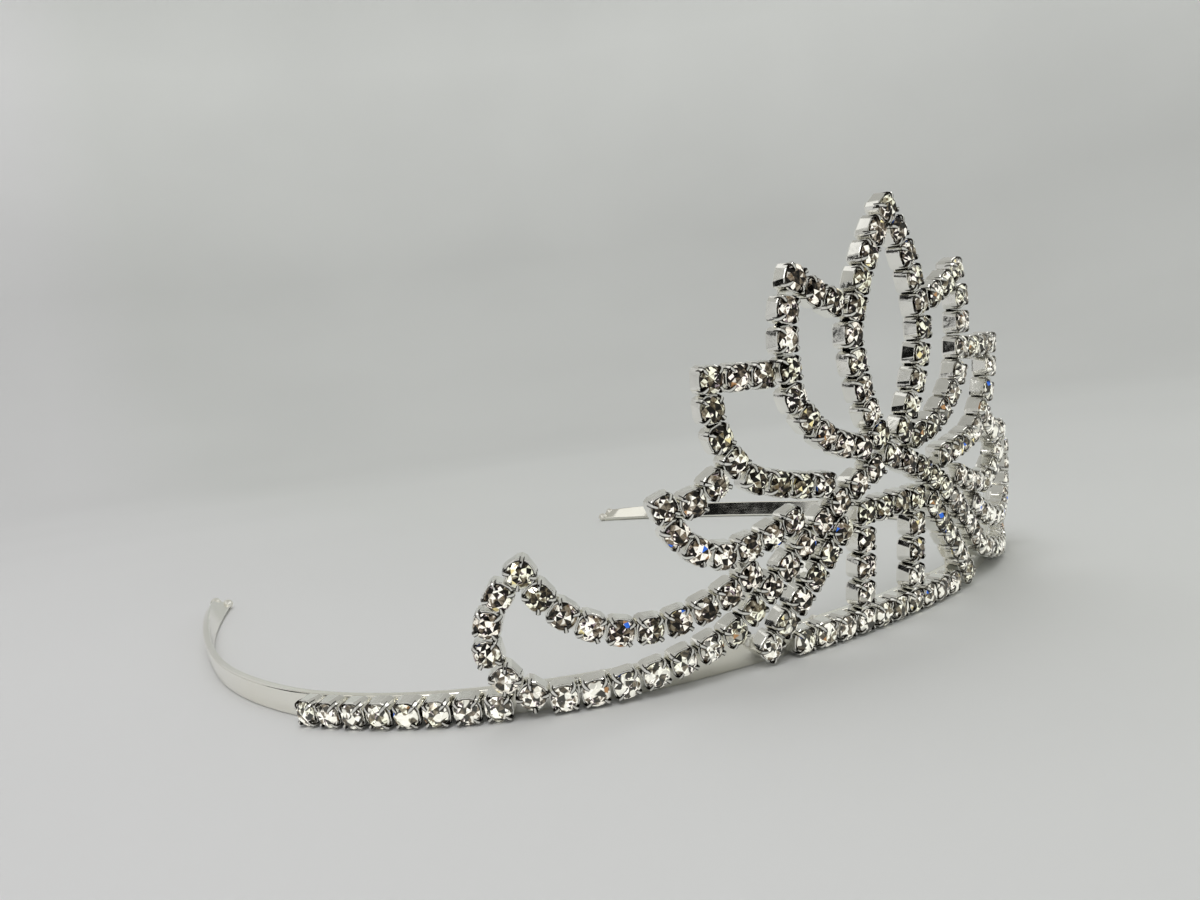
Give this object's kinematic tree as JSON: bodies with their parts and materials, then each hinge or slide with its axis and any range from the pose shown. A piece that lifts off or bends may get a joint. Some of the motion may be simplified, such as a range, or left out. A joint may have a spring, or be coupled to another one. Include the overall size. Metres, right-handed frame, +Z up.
{
  "type": "rhinestone tiara",
  "caption": "Silver tiara with a thin band open at the back and a flower-shaped lace of claw-set round clear stones soldered on its front.",
  "frame": {"origin": "middle of the bounding box, in the plane that the band rests on", "axes": "+Z up, -Y towards the front of the tiara, +X to the right as seen from the front"},
  "size_m": [0.1248, 0.1272, 0.0505],
  "materials": {
    "silver": "bright silver plate",
    "crystal": "cut and polished, foil backed"
  },
  "bodies": {
    "root": {"frame": "silver", "center_petal_stones": "crystal", "inner_petal_stones_left": "crystal", "inner_petal_stones_right": "crystal", "middle_petal_stones_left": "crystal", "middle_petal_stones_right": "crystal", "outer_petal_stones_left": "crystal", "outer_petal_stones_right": "crystal", "side_petal_stones_left": "crystal", "side_petal_stones_right": "crystal", "arch_stones": "crystal", "bridge_stones": "crystal", "leg_stones_left": "crystal", "leg_stones_right": "crystal", "base_row_stones": "crystal", "side_row_stones_left": "crystal", "side_row_stones_right": "crystal"}
  },
  "joints": []
}
